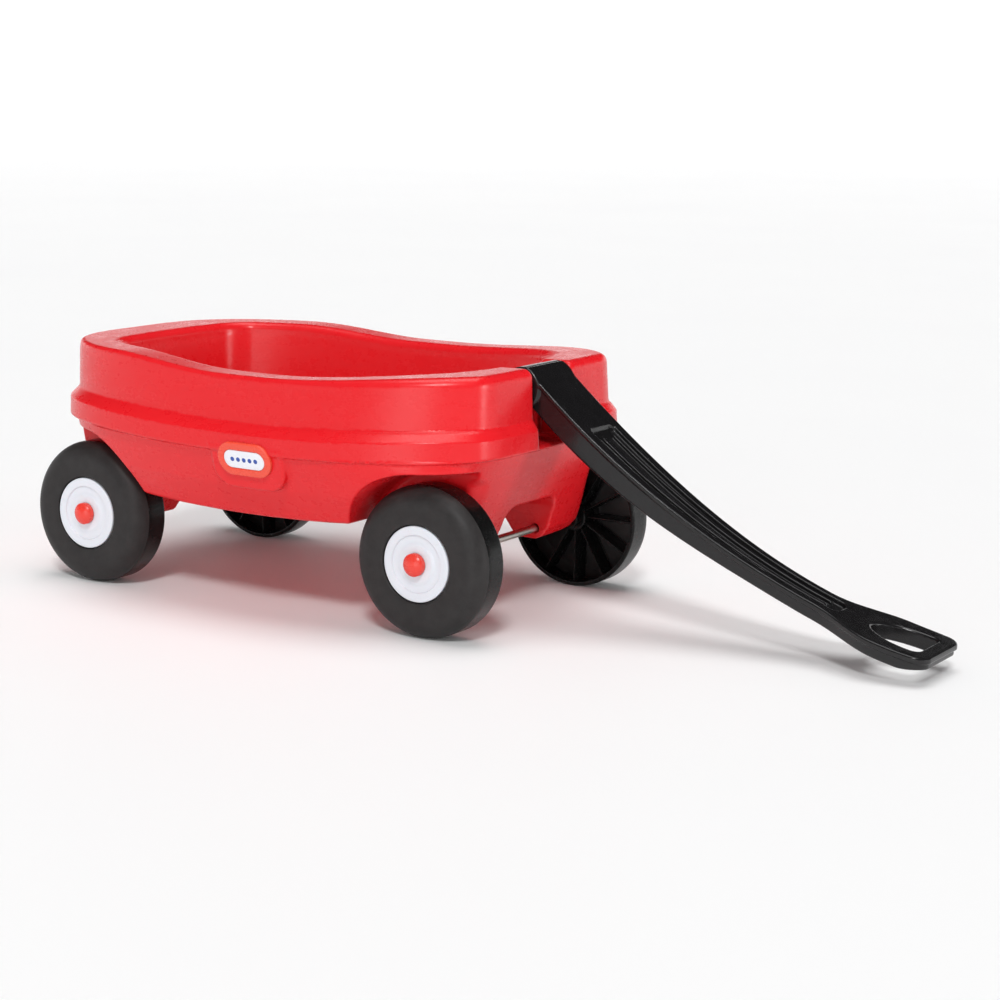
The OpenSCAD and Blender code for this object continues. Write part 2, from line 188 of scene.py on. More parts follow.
def surface_nets(values, lo, step):
    """Quads that follow the zero level of a grid of values."""
    inside = values < 0
    corners = [np.array(c) for c in np.ndindex(2, 2, 2)]
    size = np.array(values.shape) - 1
    views = [inside[tuple(slice(c[i], c[i] + size[i]) for i in range(3))] for c in corners]
    count = sum(v.astype(np.int8) for v in views)
    mixed = (count > 0) & (count < 8)
    cells = np.argwhere(mixed)
    index = np.full(mixed.shape, -1, np.int64)
    index[mixed] = np.arange(len(cells))
    total = np.zeros((len(cells), 3))
    hits = np.zeros(len(cells))
    for a in corners:
        for axis in range(3):
            if a[axis]:
                continue
            b = a.copy()
            b[axis] = 1
            va = values[tuple((cells + a).T)]
            vb = values[tuple((cells + b).T)]
            cross = (va < 0) != (vb < 0)
            share = va[cross] / (va[cross] - vb[cross])
            total[cross] += a + (b - a) * share[:, None]
            hits[cross] += 1
    verts = lo + step * (cells + total / hits[:, None])
    quads = []
    for axis in range(3):
        other, third = (axis + 1) % 3, (axis + 2) % 3
        first = tuple(slice(None, -1) if i == axis else slice(1, -1) for i in range(3))
        second = tuple(slice(1, None) if i == axis else slice(1, -1) for i in range(3))
        changed = np.argwhere(inside[first] != inside[second])
        changed[:, other] += 1
        changed[:, third] += 1
        e1, e2 = np.eye(3, dtype=int)[other], np.eye(3, dtype=int)[third]
        ring = [changed - e1 - e2, changed - e2, changed, changed - e1]
        ring = np.stack([index[tuple(r.T)] for r in ring], -1)
        leaving = inside[tuple(changed.T)]
        quads.append(np.where(leaving[:, None], ring, ring[:, ::-1]))
    return verts, np.concatenate(quads)


def gradient(field, p):
    reach = 0.05
    out = np.empty_like(p)
    for axis in range(3):
        d = np.zeros(3)
        d[axis] = reach
        out[:, axis] = (field(p + d) - field(p - d)) / (2 * reach)
    return out


def settle(field, verts, quads, step):
    """Moves vertices onto the surface and spreads them evenly along it."""
    edges = np.concatenate([quads[:, [i, (i + 1) % 4]] for i in range(4)])
    degree = np.bincount(edges[:, 0], minlength=len(verts))
    for turn in range(4):
        g = gradient(field, verts)
        length = np.maximum((g**2).sum(1), 1e-3)
        move = (field(verts) / length)[:, None] * g
        size = np.linalg.norm(move, axis=1, keepdims=True)
        verts = verts - move * np.minimum(1, 0.6 * step / np.maximum(size, 1e-9))
        if turn in (1, 2):
            mean = np.stack(
                [np.bincount(edges[:, 0], verts[edges[:, 1], i], len(verts)) for i in range(3)], -1
            )
            pull = mean / degree[:, None] - verts
            normal = g / np.sqrt(length)[:, None]
            pull -= (pull * normal).sum(1, keepdims=True) * normal
            verts = verts + 0.5 * pull
    g = gradient(field, verts)
    return verts, g / np.maximum(np.linalg.norm(g, axis=1, keepdims=True), 1e-9)


def new_piece(name, verts, faces, materials, body, replaces, normals=None, paint=None):
    """A mesh object made from millimetre points, riding on a CAD body.

    The paint gives each face's place in the list of materials.
    """
    mesh = bpy.data.meshes.new(name)
    mesh.from_pydata((np.array(verts) * MM).tolist(), [], [list(map(int, f)) for f in faces])
    mesh.polygons.foreach_set("use_smooth", np.ones(len(mesh.polygons), bool))
    for m in materials:
        mesh.materials.append(m)
    if paint is not None:
        mesh.polygons.foreach_set("material_index", np.array(paint, np.int32))
    mesh.update()
    if normals is not None:
        mesh.normals_split_custom_set_from_vertices(normals.tolist())
    obj = bpy.data.objects.new(name, mesh)
    bpy.context.scene.collection.objects.link(obj)
    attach(obj, body)
    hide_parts(*replaces)
    return obj


def moulded(name, field, lo, hi, step, material, body, node):
    """A smooth moulding whose surface is where the field is zero."""
    lo = np.array(lo, float)
    values = sample(field, lo, hi, step)
    verts, quads = surface_nets(values, lo, step)
    verts, normals = settle(field, verts, quads, step)
    print(name, len(quads), "quads")
    new_piece(name, verts, quads, [material], body, [node], normals)


# ---------------------------------------------------------------- materials
def base_material(name):
    mat = bpy.data.materials.new(name)
    mat.use_nodes = True
    nodes, links = mat.node_tree.nodes, mat.node_tree.links
    return mat, nodes, links, nodes["Principled BSDF"]


def noise(nodes, links, coords, scale, detail, rough, stretch=None):
    tex = nodes.new("ShaderNodeTexNoise")
    tex.inputs["Scale"].default_value = scale
    tex.inputs["Detail"].default_value = detail
    tex.inputs["Roughness"].default_value = rough
    if stretch is None:
        links.new(coords, tex.inputs["Vector"])
    else:
        mapping = nodes.new("ShaderNodeMapping")
        mapping.inputs["Scale"].default_value = stretch
        links.new(coords, mapping.inputs["Vector"])
        links.new(mapping.outputs["Vector"], tex.inputs["Vector"])
    return tex.outputs["Fac"]


def spread(nodes, links, value, low, high, start=0.3, end=0.7):
    """Maps a value from start..end to low..high, and holds it there."""
    m = nodes.new("ShaderNodeMapRange")
    m.inputs["From Min"].default_value = start
    m.inputs["From Max"].default_value = end
    m.inputs["To Min"].default_value = low
    m.inputs["To Max"].default_value = high
    links.new(value, m.inputs["Value"])
    return m.outputs["Result"]


def mix(nodes, links, factor, a, b):
    """A colour between a and b. Each is a colour or a socket, and the factor is a socket."""
    m = nodes.new("ShaderNodeMix")
    m.data_type = "RGBA"
    links.new(factor, m.inputs[0])
    for key, value in ((6, a), (7, b)):
        if isinstance(value, bpy.types.NodeSocket):
            links.new(value, m.inputs[key])
        else:
            m.inputs[key].default_value = (*value, 1)
    return m.outputs[2]


def bumps(nodes, links, layers):
    """Bump nodes in a chain, one per (height, strength, distance)."""
    last = None
    for height, strength, distance in layers:
        b = nodes.new("ShaderNodeBump")
        b.inputs["Strength"].default_value = strength
        b.inputs["Distance"].default_value = distance
        links.new(height, b.inputs["Height"])
        if last is not None:
            links.new(last, b.inputs["Normal"])
        last = b.outputs["Normal"]
    return last


def convex_edges(nodes, links):
    """1 on convex edges, 0 elsewhere."""
    geometry = nodes.new("ShaderNodeNewGeometry")
    return spread(nodes, links, geometry.outputs["Pointiness"], 0, 1, 0.52, 0.62)


def maths(nodes, links, operation, a, b):
    """A maths node that works on two sockets."""
    m = nodes.new("ShaderNodeMath")
    m.operation = operation
    links.new(a, m.inputs[0])
    links.new(b, m.inputs[1])
    return m.outputs[0]


def plastic(name, colour, pale, rough, grain, grain_height, variation,
            streak=(1, 1, 9), subsurface=0.0, specular=0.5):
    """A moulded plastic: cloudy colour, paler edges that are partly wear and partly painted
    highlight, pebbled skin, uneven gloss.
    """
    mat, nodes, links, shader = base_material(name)
    coords = nodes.new("ShaderNodeTexCoord").outputs["Object"]
    clouds = noise(nodes, links, coords, 7, 4, 0.55)
    mottle = noise(nodes, links, coords, 90, 5, 0.6)
    pebbles = noise(nodes, links, coords, grain, 2, 0.5)
    waves = noise(nodes, links, coords, 22, 2, 0.5)
    scuff = noise(nodes, links, coords, 14, 6, 0.7, streak)
    darker = tuple(c * 0.86 for c in colour)
    tint = mix(nodes, links, spread(nodes, links, clouds, 0, variation), colour, darker)
    tint = mix(nodes, links, spread(nodes, links, mottle, 0, variation * 0.5), tint, pale)
    # Convex edges are painted paler, partly as wear and partly as painted highlight.
    wear_and_highlight = spread(nodes, links, scuff, 0.05, 0.55, 0.35, 0.75)
    worn_and_highlit = maths(nodes, links, "MULTIPLY", convex_edges(nodes, links), wear_and_highlight)
    tint = mix(nodes, links, worn_and_highlit, tint, pale)
    links.new(tint, shader.inputs["Base Color"])
    gloss = spread(nodes, links, scuff, rough - 0.03, rough + 0.06, 0.3, 0.75)
    fine = spread(nodes, links, mottle, -0.03, 0.04)
    links.new(maths(nodes, links, "ADD", gloss, fine), shader.inputs["Roughness"])
    skin = bumps(nodes, links, [(waves, 0.2, 0.001), (pebbles, 0.25, grain_height)])
    links.new(skin, shader.inputs["Normal"])
    shader.inputs["Specular IOR Level"].default_value = specular
    if subsurface:
        shader.inputs["Subsurface Weight"].default_value = subsurface
        shader.inputs["Subsurface Radius"].default_value = (1.0, 0.25, 0.15)
        shader.inputs["Subsurface Scale"].default_value = 0.004
    return mat


def drawn_steel(name):
    """Bright steel, drawn lengthwise along Y and a little stained."""
    mat, nodes, links, shader = base_material(name)
    coords = nodes.new("ShaderNodeTexCoord").outputs["Object"]
    drawn = noise(nodes, links, coords, 60, 5, 0.7, (14, 0.4, 14))
    stain = noise(nodes, links, coords, 40, 4, 0.6)
    stained = spread(nodes, links, stain, 0, 0.7)
    tint = mix(nodes, links, stained, (0.62, 0.60, 0.56), (0.34, 0.31, 0.27))
    links.new(tint, shader.inputs["Base Color"])
    shader.inputs["Metallic"].default_value = 1.0
    links.new(spread(nodes, links, drawn, 0.2, 0.42), shader.inputs["Roughness"])
    skin = bumps(nodes, links, [(drawn, 0.3, 0.0001), (stain, 0.15, 0.0002)])
    links.new(skin, shader.inputs["Normal"])
    return mat


red = plastic(
    "red_polyethylene", colour=(0.74, 0.010, 0.016), pale=(0.82, 0.045, 0.045), rough=0.27,
    grain=620, grain_height=0.00012, variation=0.14, streak=(1.4, 1.4, 6), subsurface=0.05,
    specular=0.36,
)
black_handle = plastic(
    "black_satin_plastic", colour=(0.008, 0.0075, 0.008), pale=(0.022, 0.022, 0.024), rough=0.19,
    grain=900, grain_height=0.00006, variation=0.3, streak=(2, 8, 2), specular=0.45,
)
black_wheel = plastic(
    "black_tyre_plastic", colour=(0.022, 0.020, 0.020), pale=(0.07, 0.065, 0.065), rough=0.46,
    grain=700, grain_height=0.00016, variation=0.4, streak=(3, 3, 3), specular=0.22,
)
# A glossier copy of the tyre plastic for the tread and the wheel's back; its darker colour is
# painted shade.
glossy_black_painted_shade = plastic(
    "glossy_black_painted_shade_plastic", colour=(0.004, 0.004, 0.004), pale=(0.02, 0.02, 0.02), rough=0.24,
    grain=700, grain_height=0.00008, variation=0.3, streak=(3, 3, 3), specular=0.22,
)
white_disc = plastic(
    "white_disc_plastic", colour=(0.72, 0.745, 0.80), pale=(0.82, 0.84, 0.87), rough=0.30,
    grain=800, grain_height=0.00008, variation=0.2, subsurface=0.05,
)
orange_cap = plastic(
    "orange_red_plastic", colour=(0.80, 0.045, 0.030), pale=(0.88, 0.16, 0.12), rough=0.24,
    grain=800, grain_height=0.00008, variation=0.25, subsurface=0.06,
)
orange_trim = plastic(
    "orange_red_trim", colour=(0.82, 0.070, 0.035), pale=(0.90, 0.20, 0.14), rough=0.26,
    grain=900, grain_height=0.00004, variation=0.12, subsurface=0.05,
)
white_label = plastic(
    "white_label_plastic", colour=(0.80, 0.83, 0.88), pale=(0.90, 0.92, 0.95), rough=0.28,
    grain=1200, grain_height=0.00005, variation=0.15,
)
blue_print = plastic(
    "blue_print", colour=(0.020, 0.070, 0.36), pale=(0.08, 0.15, 0.45), rough=0.35,
    grain=1200, grain_height=0.00005, variation=0.2,
)
steel = drawn_steel("drawn_steel")


# ---------------------------------------------------------------- wagon body
BODY_STEP = 2.5
SKIRT_Z = 62
# Height, then: front plane, nose beyond it, rear plane, tail beyond it, half width,
# power at the front and at the rear. A higher power gives squarer corners.
SKIN = Columns([
    [SKIRT_Z, BELT_F - 55, 0, BELT_B - 52, 0, BELT_H - 66, 7, 4],
    [66, BELT_F - 49.5, 0, BELT_B - 45, 0, BELT_H - 59, 7, 4],
    [74, BELT_F - 42.5, 0, BELT_B - 40, 0, BELT_H - 54, 7, 4],
    [91, BELT_F - 36, 0, BELT_B - 33, 0, BELT_H - 44, 7, 4],
    [130, BELT_F - 22, 2, BELT_B - 20, 0, BELT_H - 21, 5.4, 3.5],
    [164, BELT_F - 11, 8, BELT_B - 10, 0, BELT_H - 6, 3.5, 3],
    [165.5, BELT_F - 2.5, 12, BELT_B - 2.5, 0, BELT_H - 1.5, 3.1, 3],
    [167, BELT_F - 2, 20, BELT_B - 1.8, 0, BELT_H - 0.4, 2.8, 3],
    [183.5, BELT_F - 3, 20, BELT_B - 2, 0, BELT_H - 1.2, 2.8, 3],
    [184.5, BELT_F - 3.6, 20, BELT_B - 2.6, 0, BELT_H - 2.6, 2.8, 3],
    [190.5, BELT_F - 7.5, 22, BELT_B - 7, 0, BELT_H - 12, 2.8, 3],
    [192, BELT_F - 9.5, 23, BELT_B - 7.4, 0, BELT_H - 14.2, 2.75, 3],
    [226, BELT_F - 11, 24, BELT_B - 6, 0, BELT_H - 20, 2.75, 3.05],
    [240, BELT_F - 12, 24, BELT_B - 7, 0, BELT_H - 22, 2.75, 3.05],
], 0.4)
CAVITY = Columns([
    [140, 176, 8, 233, 42, 119, 2.5, 2.5],
    [164, 182, 9, 240, 43, 126, 2.5, 2.5],
    [225, 190, 10, 250, 44, 143, 2.5, 2.5],
    [240, 191, 10, 251, 44, 145, 2.5, 2.5],
], 1.5)
# The lifts of the front, the rear and the rear's top, at a few heights
SKIN_KNOTS = (66, 130, 164, 191, 226)
SKIN_LIFTS = ((0, 3, 5, 7, 12), (0, 3, 5, 7, 0), (0, 0, 0, 0, 10))
CAVITY_KNOTS = (147, 164, 225)
CAVITY_LIFTS = ((0, 3, 12), (0, 3, 0), (0, 0, 10))
SKIN_BULGE = 0.035
SKIN_CORNER = 8
CAVITY_BULGE = 0.06
CAVITY_CORNER = 15
FLOOR_FILLET = 12
SKIRT_EDGE = 5
# The rim's outer edge is rounded more towards the front.
RIM_EDGE = 4
RIM_EDGE_MORE = 5
RIM_EDGE_RUN = 200
RIM_INNER_EDGE = 8
WELL_Y = 114
WELL_R = 80
WELL_TOP = 159.5
WELL_FILLET = 5
WELL_EDGE = 1.8
# The edges of the legs in front of the front wheels are rounded more, up to a height.
LEG_EDGE = 20
LEG_START = AXLE_F + 8
LEG_RUN = 26
LEG_TOP = 142
LEG_FADE = 14
# The hollow between the wheels under each side: a bowed top between sloping ends
UNDER_Z = 97
UNDER_RISE = 8
UNDER_BOW = 52
UNDER_END = 24
UNDER_SLOPE = (28, 43)
UNDER_LEAN = 0.84
UNDER_FILLET = 9
# The long tunnel under the middle, wider at the bottom
ARCH_Z = 112
ARCH_HALF = 46
ARCH_FLARE = 8
ARCH_FLARE_Z = 98
ARCH_FLARE_RUN = 68
ARCH_FILLET = 14
ARCH_CLEAR = 60
# The notch that takes the handle's knuckle
NOTCH_HALF = 35.5
NOTCH_BACK = 29
NOTCH_SILL = 175
NOTCH_OPEN = 206
NOTCH_OPEN_X = -40
NOTCH_FILLET = 4
NOTCH_EDGE = 5
TRUNNION_R = 7
TRUNNION_OUT = 10
SOCKET_R = TRUNNION_R + 0.4
SOCKET_OUT = TRUNNION_OUT + 1.4
AXLE_HOLE_R = 4.5
HOLE_EDGE = 0.8
# The badge pad: a tilted block on each side, with its face at PAD_Y
PAD_X = -158.5
PAD_HALF = 44
PAD_LOW = -32
PAD_HIGH = 11
PAD_CORNER = 22
PAD_EDGE = 3.5
PAD_DEEP = 30
PAD_FILLET = 4
PAD_TILT = math.radians(103)
PAD_Y = BELT_H - 3.7
BADGE_Z = 160


def on_pad(p):
    """Plan x, plan y and height above the badge pad's face."""
    dy = PAD_Y - np.abs(p[:, 1])
    dz = p[:, 2] - BADGE_Z
    c, s = math.cos(PAD_TILT), math.sin(PAD_TILT)
    return p[:, 0] - PAD_X, dy * c + dz * s, -dy * s + dz * c


def wells_field(p):
    """The four wheel wells, open below and towards the tub's two ends."""
    x, y, z = p[:, 0], np.abs(p[:, 1]), p[:, 2]
    rise = z - (WELL_TOP - WELL_R)
    hollow = np.full(len(p), np.inf)
    for axle, way in ((AXLE_F, 1), (AXLE_R, -1)):
        dx = x - axle
        arch = np.where(rise > 0, np.hypot(dx, rise), np.abs(dx)) - WELL_R
        beyond = np.maximum(-way * dx, z - WELL_TOP)
        hollow = np.minimum(hollow, np.minimum(arch, beyond))
    return cut_round(hollow, WELL_Y - y, WELL_FILLET)


def under_field(p):
    """The hollow between the front and rear wheels."""
    x, z = p[:, 0], p[:, 2]
    run, climb = UNDER_SLOPE
    middle = (AXLE_F + AXLE_R) / 2
    reach = np.abs(x - middle)
    span = (AXLE_F - AXLE_R) / 2
    top = UNDER_Z + UNDER_RISE * (reach / (span - UNDER_BOW)) ** 2
    side = (reach - (span - UNDER_END - run * (z - SKIRT_Z) / climb)) * UNDER_LEAN
    return cut_round(z - top, side, UNDER_FILLET)


def arch_field(p):
    """The long tunnel under the middle, open past both axles."""
    x, y, z = p[:, 0], np.abs(p[:, 1]), p[:, 2]
    reach = ARCH_HALF + ARCH_FLARE * (ARCH_FLARE_Z - z) / ARCH_FLARE_RUN
    ends = np.minimum(AXLE_F - ARCH_CLEAR - x, x - (AXLE_R + ARCH_CLEAR))
    return np.maximum(cut_round(y - reach, z - ARCH_Z, ARCH_FILLET), ends)


def notch_field(p):
    """The gap in the front rim, for the knuckle, and above it for the turned handle."""
    x, y, z = p[:, 0], np.abs(p[:, 1]), p[:, 2]
    low = cut_round(NOTCH_BACK - x, NOTCH_SILL - z, NOTCH_FILLET)
    high = np.maximum(NOTCH_OPEN_X - x, NOTCH_OPEN - z)
    return np.maximum(np.minimum(low, high), y - NOTCH_HALF)


def body_field(p):
    """The tub and the chassis under it, one moulding."""
    x, y, z = p[:, 0], p[:, 1], p[:, 2]
    flat = unsag(x, z, SKIN_KNOTS, *SKIN_LIFTS)
    outside = wall(x - MID_X, y, SKIN.at(flat), SKIN_BULGE, SKIN_CORNER)
    lx, ly, lz = on_pad(p)
    pad = cut_round(np.abs(lx) - PAD_HALF, PAD_LOW - ly, PAD_CORNER)
    pad = np.maximum(pad, ly - PAD_HIGH)
    pad = np.maximum(cut_round(pad, lz, PAD_EDGE), -PAD_DEEP - lz)
    outside = join_round(outside, pad, PAD_FILLET)
    rim_edge = RIM_EDGE + RIM_EDGE_MORE * ease((x - MID_X) / RIM_EDGE_RUN)
    outside = cut_round(outside, flat - RIM_Z, rim_edge)
    outside = cut_round(outside, SKIRT_Z - z, SKIRT_EDGE)
    deep = unsag(x, z, CAVITY_KNOTS, *CAVITY_LIFTS)
    inside = wall(x - MID_X, y, CAVITY.at(deep), CAVITY_BULGE, CAVITY_CORNER)
    inside = cut_round(inside, FLOOR_Z - z, FLOOR_FILLET)
    f = take_away(outside, inside, RIM_INNER_EDGE)
    leg_edge = LEG_EDGE * ease((x - LEG_START) / LEG_RUN) * (1 - ease((z - LEG_TOP) / LEG_FADE))
    f = take_away(f, wells_field(p), WELL_EDGE + leg_edge)
    f = take_away(f, under_field(p), 3)
    f = take_away(f, arch_field(p), 2.5)
    f = take_away(f, notch_field(p), NOTCH_EDGE)
    for axle in (AXLE_F, AXLE_R):
        f = take_away(f, np.hypot(x - axle, z - AXLE_Z) - AXLE_HOLE_R, HOLE_EDGE)
    socket = np.hypot(x - PIVOT_X, z - PIVOT_Z) - SOCKET_R
    socket = np.maximum(socket, np.abs(y) - NOTCH_HALF - SOCKET_OUT)
    return take_away(f, socket, HOLE_EDGE)


moulded("tub_moulding", body_field, body_lo - 7, body_hi + 7, BODY_STEP, red,
        "wagon", "wagon_body")


# ---------------------------------------------------------------- handle
# Lengths are from the pivot, along the floor. The bar's top is a cubic in the share u of
# the whole length.
HANDLE_STEP = 1.35
GRIP_TIP = 429.5
TOP_CURVE = (24.5, -393.6, 178, -12.5)
KNUCKLE_R = 19.98
KNUCKLE_HALF = 34
WAIST_HALF = 24
GRIP_HALF = 46
DEPTH = 34
# Each smooth change along the bar: by how much, from where, over what length
DEPTH_CHANGES = ((-16.5, 20, 260), (-1.5, 310, 60), (-4, 400, 26))
HALF_CHANGES = (
    (WAIST_HALF - KNUCKLE_HALF, 36, 255),
    (GRIP_HALF - WAIST_HALF, 308, 72),
    (-5, 395, 60),
)
WAIST_AT = 36 + 255
BAR_START = 6
FLANGE = 6
FLANGE_OUT = 2.5
RECESS = (70, 330)
RECESS_DEEP = 5
RECESS_WALL = 13
RECESS_CHANGES = ((3, 60, 230),)
RIB_HALF = 2.6
RIB_GAP = (9, 13)
# The hand hole: a long half ellipse up to OVAL_END, then square corners up to HOLE_END
OVAL_END = 404
OVAL_LONG = 44
HOLE_HALF = 27
HOLE_END = 415


def bar_top(h):
    u = h / GRIP_TIP
    a, b, c, d = TOP_CURVE
    return a + b * u + c * u**2 + d * u**3


def bar_slope(h):
    u = h / GRIP_TIP
    _, b, c, d = TOP_CURVE
    return (b + 2 * c * u + 3 * d * u**2) / GRIP_TIP


def along(h, value, changes):
    """A value that changes smoothly along the bar."""
    for change, start, run in changes:
        value = value + change * ease((h - start) / run)
    return value


def bar_half(h):
    return along(h, KNUCKLE_HALF, HALF_CHANGES)


def recess_half(h):
    return along(h, bar_half(np.minimum(h, WAIST_AT)) - RECESS_WALL, RECESS_CHANGES)


def hand_hole(h, y):
    """Distance outside the hand hole's plan."""
    ex, ey = (h - OVAL_END) / OVAL_LONG, y / HOLE_HALF
    radial = np.hypot(ex, ey)
    slope = np.hypot(ex / OVAL_LONG, ey / HOLE_HALF) / np.maximum(radial, 1e-4)
    oval = (radial - 1) / np.maximum(slope, 1e-4)
    box = cut_round(h - HOLE_END, y - HOLE_HALF, 8)
    return np.where(h < OVAL_END, oval, box)


def top_recess(h, y, over, lean):
    """The long recess in the bar's top, with its two ribs."""
    start, end = RECESS
    width = recess_half(np.clip(h, 0, GRIP_TIP))
    plan = cut_round(y - width, start - h, 4)
    plan = cut_round(plan, h - end, 9)
    hollow = cut_round(plan, -(over + RECESS_DEEP) * lean, 1.6)
    rib_ends = np.maximum(start + RIB_GAP[0] - h, h - end + RIB_GAP[1])
    rib = cut_round(np.abs(y - 0.5 * width) - RIB_HALF, rib_ends, 2.5)
    rib = cut_round(rib, (over + 1) * lean, 1.3)
    return take_away(hollow, rib, 0.8)


def handle_field(p):
    """A T-section bar on a knuckle with two trunnions, and a wide grip with a hole."""
    h, y, z = p[:, 0] - PIVOT_X, np.abs(p[:, 1]), p[:, 2] - PIVOT_Z
    near = np.clip(h, 0, GRIP_TIP)
    lean = 1 / np.hypot(1, bar_slope(near))
    over = z - bar_top(near)
    half = bar_half(near)
    end = cut_round(y - half, h - GRIP_TIP, 14)
    web_end = cut_round(y - half + FLANGE_OUT, h - GRIP_TIP + FLANGE_OUT, 13)
    top = over * lean
    flange = cut_round(cut_round(end, top, 1.9), (-FLANGE - over) * lean, 1.6)
    web = cut_round(web_end, (-along(near, DEPTH, DEPTH_CHANGES) - over) * lean, 2.2)
    web = np.maximum(web, top + 2)
    bar = np.maximum(join_round(flange, web, 1.2), BAR_START - h)
    ring = np.hypot(h, z)
    knuckle = cut_round(ring - KNUCKLE_R, y - KNUCKLE_HALF, 1.8)
    f = join_round(bar, knuckle, 2)
    f = take_away(f, hand_hole(h, y), 2.4)
    f = take_away(f, top_recess(h, y, over, lean), 1.2)
    trunnion = cut_round(ring - TRUNNION_R, y - NOTCH_HALF - TRUNNION_OUT, 1)
    return np.minimum(f, trunnion)


moulded("pull_bar", handle_field, grip_lo - 5, grip_hi + 5, HANDLE_STEP, black_handle,
        "pull_handle", "handle")


# ---------------------------------------------------------------- turned parts
def arc(cx, cy, r, start, end, n):
    """Points of an arc between two angles in degrees."""
    a = np.radians(np.linspace(start, end, n))
    return [(cx + r * math.cos(t), cy + r * math.sin(t)) for t in a]


def turned(profile, n, closed):
    """Verts and faces of a profile of (radius, height), turned about the height axis.

    An open profile's first and last points lie on the axis.
    """
    whole = np.array(profile, float)
    profile = whole if closed else whole[1:-1]
    m = len(profile)
    t = np.arange(n) * 2 * math.pi / n
    verts = np.stack([
        profile[:, 0][None] * np.cos(t)[:, None],
        profile[:, 0][None] * np.sin(t)[:, None],
        np.repeat(profile[:, 1][None], n, 0),
    ], -1).reshape(-1, 3)
    i, j = np.meshgrid(np.arange(n), np.arange(m if closed else m - 1), indexing="ij")
    i, j = i.ravel(), j.ravel()
    k, l = (i + 1) % n, (j + 1) % m
    faces = np.stack([i * m + j, i * m + l, k * m + l, k * m + j], -1).tolist()
    if not closed:
        first, last = len(verts), len(verts) + 1
        verts = np.vstack([verts, [0, 0, whole[0, 1]], [0, 0, whole[-1, 1]]])
        for a in range(n):
            b = (a + 1) % n
            faces += [[a * m, b * m, first], [b * m + m - 1, a * m + m - 1, last]]
    return verts, faces


def outward(verts, faces):
    """A closed shell's faces, all turned to look out of it."""
    v = np.array(verts, float)
    fans = np.array([(f[0], f[k], f[k + 1]) for f in faces for k in range(1, len(f) - 1)])
    volume = (v[fans[:, 0]] * np.cross(v[fans[:, 1]], v[fans[:, 2]])).sum()
    return faces if volume > 0 else [f[::-1] for f in faces]


def wheel_rib(r0, r1, z0, z1, angle, rise):
    """A thin radial slab inside a wheel, with its free edge bevelled by rise."""
    t = RIB_THICK / 2
    left = [(-t, z1), (-t, z0 + rise), (-t + 0.7 * rise, z0)]
    outline = left + [(-w, z) for w, z in reversed(left)]
    c, s = math.cos(angle), math.sin(angle)
    verts = [(r * c - w * s, r * s + w * c, z) for r in (r0, r1) for w, z in outline]
    m = len(outline)
    faces = [[k, (k + 1) % m, m + (k + 1) % m, m + k] for k in range(m)]
    faces += [list(range(m))[::-1], list(range(m, 2 * m))]
    return verts, faces


def wheel_place(verts, x, side):
    """From a wheel part's own axes, height outwards, to its place in the frame."""
    v = np.array(verts, float)
    return np.stack([x + v[:, 0], side * (FACE_Y + v[:, 2]), AXLE_Z - side * v[:, 1]], -1)


def join_parts(parts):
    """The vertices and faces of several closed shells, as one mesh's."""
    verts, faces, count = [], [], 0
    for v, f in parts:
        verts.extend(np.array(v).tolist())
        faces.extend([[i + count for i in face] for face in outward(v, f)])
        count += len(v)
    return verts, faces


# Profile heights are from the tyre's outer face, and less than zero further in.
SHOULDER = 18
TREAD_BACK = -40
BORE_R = 4.08
SEAT_Z = -5
SHELL = 4.5
RIB_COUNT = 12
RIB_THICK = 2.5
RIB_HUB_R = 14.2
TYRE_TURN = 144
DISC_TURN = 128
CAP_TURN = 96


def tyre_profile():
    """From the bore out over the seat, face, shoulder and tread, and back inside the shell."""
    seat = DISC_R + 1.3
    r = WHEEL_R
    return (
        [(BORE_R, SEAT_Z), (seat, SEAT_Z), (seat, -2.0)]
        + arc(seat + 1.4, -1.8, 1.4, 180, 95, 5)
        + [(seat + 4, -0.15), (seat + 10, 0.0), (r - SHOULDER - 3, 0.0)]
        + arc(r - SHOULDER, -SHOULDER, SHOULDER, 88, 4, 18)
        + [(r, -SHOULDER - 2), (r, -28), (r, TREAD_BACK + 3)]
        + arc(r - 2, TREAD_BACK + 2, 2, 0, -90, 5)
        + arc(r - 3.7, TREAD_BACK + 0.8, 0.8, -90, -180, 3)
        + [(r - SHELL, -30)]
        + arc(r - SHOULDER, -SHOULDER, SHOULDER - SHELL, 0, 62, 9)
        + [(r - SHOULDER, -9.5), (22, -9.5)]
        + arc(16.5, -11, 1.5, 90, 180, 4)
        + [(15, -20), (15, TREAD_BACK + 1.2), (13.8, TREAD_BACK), (11, TREAD_BACK)]
        + [(11, -48.2), (10.2, -49), (5, -49), (BORE_R, -48.4)]
    )


def disc_profile():
    """A flat outer ring, a step down to a wide groove, and a raised middle round the cap."""
    e = DISC_R
    return (
        [(5, SEAT_Z), (e - 0.4, SEAT_Z), (e, -4.6)]
        + arc(e - 1.2, -1.9, 1.2, 0, 80, 5)
        + [(e - 4, -0.55), (29.5, -0.75)]
        + arc(28.6, -1.5, 0.8, 80, 150, 4)
        + [(27.2, -2.5), (25, -2.75), (21.4, -2.7)]
        + [(20.2, -2.3), (19.2, -1.7)]
        + arc(18, -2.2, 0.8, 40, 95, 4)
        + [(15, -1.3), (11.3, -1.25), (11.1, -1.6), (5, -1.6)]
    )


def cap_profile():
    """A low dome on a short straight side, up to the CAD cap's own top."""
    dome = 15.0
    top = cap_hi[1] - FACE_Y
    centre = top - dome
    edge = math.degrees(math.acos((CAP_R - 0.35) / dome))
    side_top = centre + dome * math.sin(math.radians(edge))
    return (
        [(0, -0.9), (CAP_R - 0.3, -0.9), (CAP_R, -0.6), (CAP_R, side_top - 0.5)]
        + arc(0, centre, dome, edge, 88, 14)
        + [(0, top)]
    )


